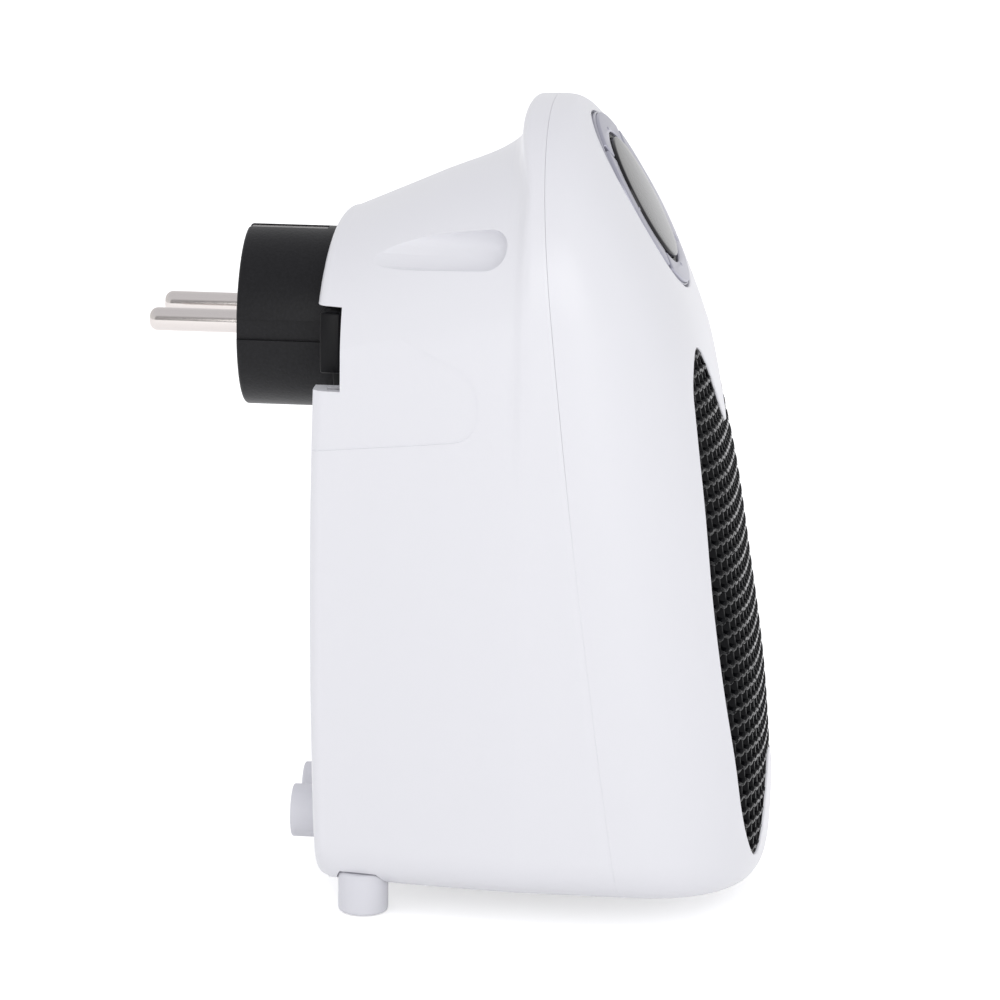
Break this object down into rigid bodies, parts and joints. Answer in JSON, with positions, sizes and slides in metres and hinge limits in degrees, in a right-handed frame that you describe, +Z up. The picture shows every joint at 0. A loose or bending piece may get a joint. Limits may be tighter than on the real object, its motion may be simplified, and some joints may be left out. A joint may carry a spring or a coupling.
{
  "type": "plug-in fan heater",
  "caption": "Small wall-plug fan heater: rounded two-shell housing, swivel plug on the back, ring of touch keys round a dark display, honeycomb air outlet.",
  "frame": {"origin": "middle of the bounding box from above, at the height of the foot ends", "axes": "+Z up; -Y to the front, where the air comes out; +Y to the back, where the plug stands out; X across, with the rocker switch at +X"},
  "size_m": [0.089, 0.1288, 0.1631],
  "materials": {
    "white_shell": "satin",
    "black_plastic": "fine grain",
    "silver_ring": "satin silver",
    "display_black": "glossy",
    "grille_black": "satin",
    "nickel": "polished",
    "steel": "plain",
    "inner_grey": "plain",
    "board_green": "solder mask",
    "aluminium": "plain",
    "white_rubber": "matt"
  },
  "bodies": {
    "housing": {"rear_shell": "white_shell", "front_shell": "white_shell", "outlet_grille": "grille_black", "control_bezel": "silver_ring", "display_lens": "display_black", "display_board": "board_green", "near_foot": "white_rubber", "far_foot": "white_rubber", "near_wall_bumper": "white_rubber", "far_wall_bumper": "white_rubber", "fan_duct": "inner_grey", "motor_bracket": "inner_grey", "fan_motor": "steel", "heater_frame": "inner_grey", "ptc_core": "aluminium", "thermal_cutout": "steel", "power_board": "board_green", "switch_housing": "black_plastic", "board_screw_1": "steel", "board_screw_2": "steel", "case_screw_1": "steel", "duct_screw_1": "steel", "case_screw_2": "steel", "duct_screw_2": "steel", "case_screw_3": "steel", "duct_screw_3": "steel", "case_screw_4": "steel", "duct_screw_4": "steel"},
    "plug": {"plug_body": "black_plastic", "near_pin": "nickel", "far_pin": "nickel", "upper_earth_clip": "steel", "lower_earth_clip": "steel", "swivel_collar": "black_plastic", "swivel_retainer": "black_plastic", "retainer_screw_1": "steel", "retainer_screw_2": "steel"},
    "fan": {"motor_shaft": "steel", "fan_impeller": "inner_grey"},
    "top_button": {"top_button": "silver_ring"},
    "near_button": {"near_button": "silver_ring"},
    "bottom_button": {"bottom_button": "silver_ring"},
    "far_button": {"far_button": "silver_ring"},
    "rocker": {"power_rocker": "black_plastic"}
  },
  "joints": [
    {"name": "plug_swivel", "type": "hinge", "parent": "housing", "child": "plug", "pos_m": [0, 0.02775, 0.1165], "axis": [0, -1, 0], "range_deg": [0, 180]},
    {"name": "fan_spin", "type": "hinge", "parent": "housing", "child": "fan", "pos_m": [0, -0.00695, 0.06], "axis": [0, -1, 0], "continuous": true},
    {"name": "top_press", "type": "slide", "parent": "housing", "child": "top_button", "axis": [0, 0.8712, -0.4909], "range_m": [0, 0.0006], "stiffness_N_per_m": 800},
    {"name": "near_press", "type": "slide", "parent": "housing", "child": "near_button", "axis": [0, 0.8712, -0.4909], "range_m": [0, 0.0006], "stiffness_N_per_m": 800},
    {"name": "bottom_press", "type": "slide", "parent": "housing", "child": "bottom_button", "axis": [0, 0.8712, -0.4909], "range_m": [0, 0.0006], "stiffness_N_per_m": 800},
    {"name": "far_press", "type": "slide", "parent": "housing", "child": "far_button", "axis": [0, 0.8712, -0.4909], "range_m": [0, 0.0006], "stiffness_N_per_m": 800},
    {"name": "rocker_tilt", "type": "hinge", "parent": "housing", "child": "rocker", "pos_m": [0.04087, 0.00505, 0.112], "axis": [0, 1, 0], "range_deg": [0, 18]}
  ]
}
